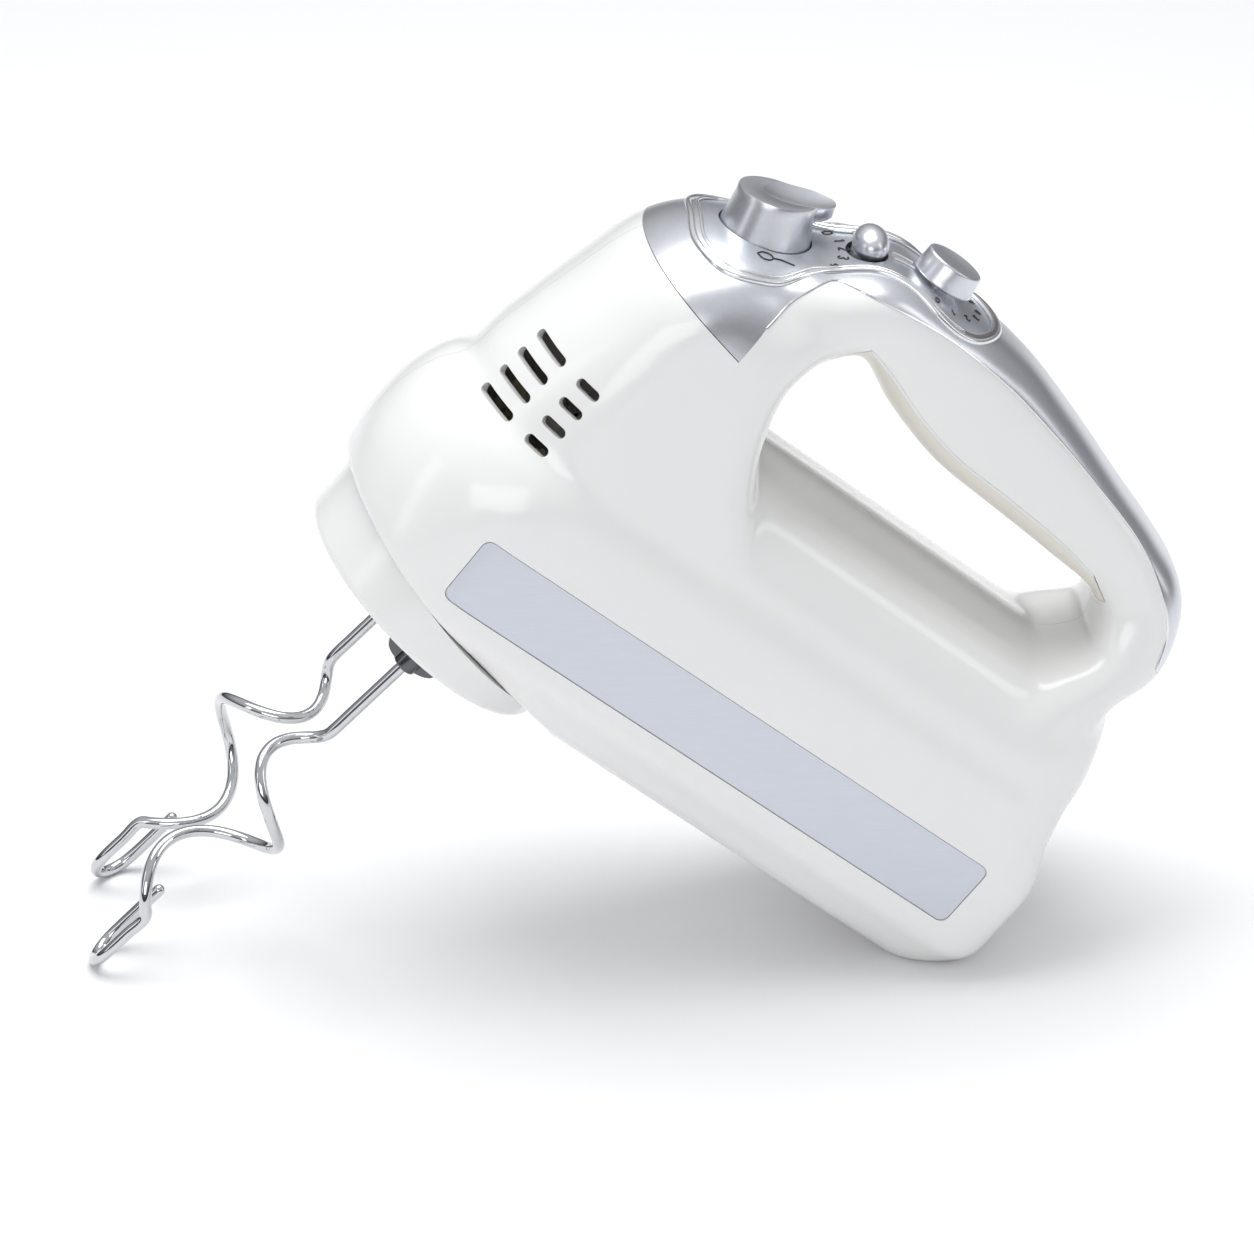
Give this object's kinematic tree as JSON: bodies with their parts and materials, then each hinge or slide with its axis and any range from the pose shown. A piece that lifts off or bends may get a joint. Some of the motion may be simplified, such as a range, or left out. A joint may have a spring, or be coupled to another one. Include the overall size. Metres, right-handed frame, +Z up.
{
  "type": "hand mixer",
  "caption": "Electric hand mixer with a D handle, silver top cover, speed knob and two chrome dough hooks on a worm drive, resting on its heel and hook tips.",
  "frame": {"origin": "on the table, under the middle of the mixer's bounding box as it rests on its heel and its hook tips", "axes": "+X from the hooks to the rear of the handle, +Y to the mixer's right, +Z up from the table"},
  "size_m": [0.2876, 0.086, 0.2075],
  "materials": {
    "gloss_white": "moulded gloss white",
    "satin_silver": "silver lacquered plastic, satin metallic",
    "panel_silver": "silver lacquered plastic, satin metallic, a little darker",
    "brushed_strip": "foil strip with a fine brushed grain, cool grey",
    "ivory": "soft satin ivory",
    "chrome": "bright chrome plate on steel wire",
    "steel": "plain machined steel",
    "lamination": "dark laminated steel",
    "copper": "enamelled copper",
    "carbon": "pressed carbon",
    "bearing_brass": "sintered bronze and brass",
    "black_plastic": "black moulded plastic",
    "beige_plastic": "beige moulded plastic",
    "gear_plastic": "natural acetal",
    "board": "printed circuit laminate"
  },
  "bodies": {
    "mixer_body": {"left_housing": "gloss_white", "right_housing": "gloss_white", "top_cover": "satin_silver", "control_panel": "panel_silver", "grip_insert": "ivory", "badge_left": "brushed_strip", "badge_right": "brushed_strip", "cord_inlet": "black_plastic", "housing_screw_1": "steel", "housing_screw_2": "steel", "housing_screw_3": "steel", "housing_screw_4": "steel", "housing_screw_5": "steel", "spindle_cover": "gloss_white", "ejector_spring": "steel", "speed_switch": "black_plastic", "turbo_switch": "black_plastic", "regulator_potentiometer": "steel", "control_board": "board", "gearbox_frame": "beige_plastic", "spindle_bush_left": "bearing_brass", "spindle_bush_right": "bearing_brass", "stator_core": "lamination", "field_coil_left": "copper", "field_coil_right": "copper", "brush_holder_left": "bearing_brass", "brush_holder_right": "bearing_brass", "carbon_brush_left": "carbon", "carbon_brush_right": "carbon", "front_bearing": "bearing_brass", "rear_bearing": "bearing_brass", "motor_bracket": "beige_plastic", "inner_lead": "black_plastic"},
    "armature": {"armature_shaft": "steel", "worm": "steel", "cooling_fan": "black_plastic", "armature_core": "lamination", "armature_winding_front": "copper", "armature_winding_rear": "copper", "commutator": "copper"},
    "spindle_left": {"spindle_left": "steel", "worm_wheel_left": "gear_plastic"},
    "spindle_right": {"spindle_right": "steel", "worm_wheel_right": "gear_plastic"},
    "hook_left": {"hook_left": "chrome", "hook_collar": "chrome"},
    "hook_right": {"hook_right": "chrome"},
    "ejector_plunger": {"ejector_plunger": "beige_plastic"},
    "ejector_yoke": {"ejector_yoke": "beige_plastic"},
    "speed_knob": {"speed_knob": "satin_silver"},
    "turbo_button": {"turbo_button": "satin_silver"},
    "regulator_knob": {"regulator_knob": "satin_silver"}
  },
  "joints": [
    {"name": "armature_spin", "type": "hinge", "parent": "mixer_body", "child": "armature", "pos_m": [-0.01476, 0, 0.1292], "axis": [0.7071, 0, -0.7071], "continuous": true},
    {"name": "spindle_left_spin", "type": "hinge", "parent": "mixer_body", "child": "spindle_left", "pos_m": [-0.01476, -0.021, 0.1292], "axis": [0.7071, 0, 0.7071], "continuous": true},
    {"name": "spindle_right_spin", "type": "hinge", "parent": "mixer_body", "child": "spindle_right", "pos_m": [-0.01476, 0.021, 0.1292], "axis": [0.7071, 0, 0.7071], "continuous": true},
    {"name": "eject_press", "type": "slide", "parent": "mixer_body", "child": "ejector_plunger", "axis": [-0.3007, 0, -0.9537], "range_m": [0, 0.004], "stiffness_N_per_m": 600},
    {"name": "ejector_yoke_slide", "type": "slide", "parent": "mixer_body", "child": "ejector_yoke", "axis": [-0.7071, 0, -0.7071], "range_m": [0, 0.004]},
    {"name": "hook_left_release", "type": "slide", "parent": "spindle_left", "child": "hook_left", "axis": [-0.7071, 0, -0.7071], "range_m": [0, 0.004]},
    {"name": "hook_right_release", "type": "slide", "parent": "spindle_right", "child": "hook_right", "axis": [-0.7071, 0, -0.7071], "range_m": [0, 0.004]},
    {"name": "speed_select", "type": "hinge", "parent": "ejector_plunger", "child": "speed_knob", "pos_m": [0.0349, 0, 0.195], "axis": [0.3007, 0, 0.9537], "range_deg": [-65, 0]},
    {"name": "turbo_press", "type": "slide", "parent": "mixer_body", "child": "turbo_button", "axis": [-0.3502, 0, -0.9367], "range_m": [0, 0.002], "stiffness_N_per_m": 500},
    {"name": "regulator_turn", "type": "hinge", "parent": "mixer_body", "child": "regulator_knob", "pos_m": [0.07873, 0, 0.17902], "axis": [0.5519, 0, 0.8339], "range_deg": [0, 240]}
  ],
  "couplings": [
    {"joint": "spindle_left_spin", "follows": "armature_spin", "ratio": 0.071429},
    {"joint": "spindle_right_spin", "follows": "armature_spin", "ratio": -0.071429},
    {"joint": "ejector_yoke_slide", "follows": "eject_press", "ratio": 1},
    {"joint": "hook_left_release", "follows": "eject_press", "ratio": 1},
    {"joint": "hook_right_release", "follows": "eject_press", "ratio": 1}
  ]
}
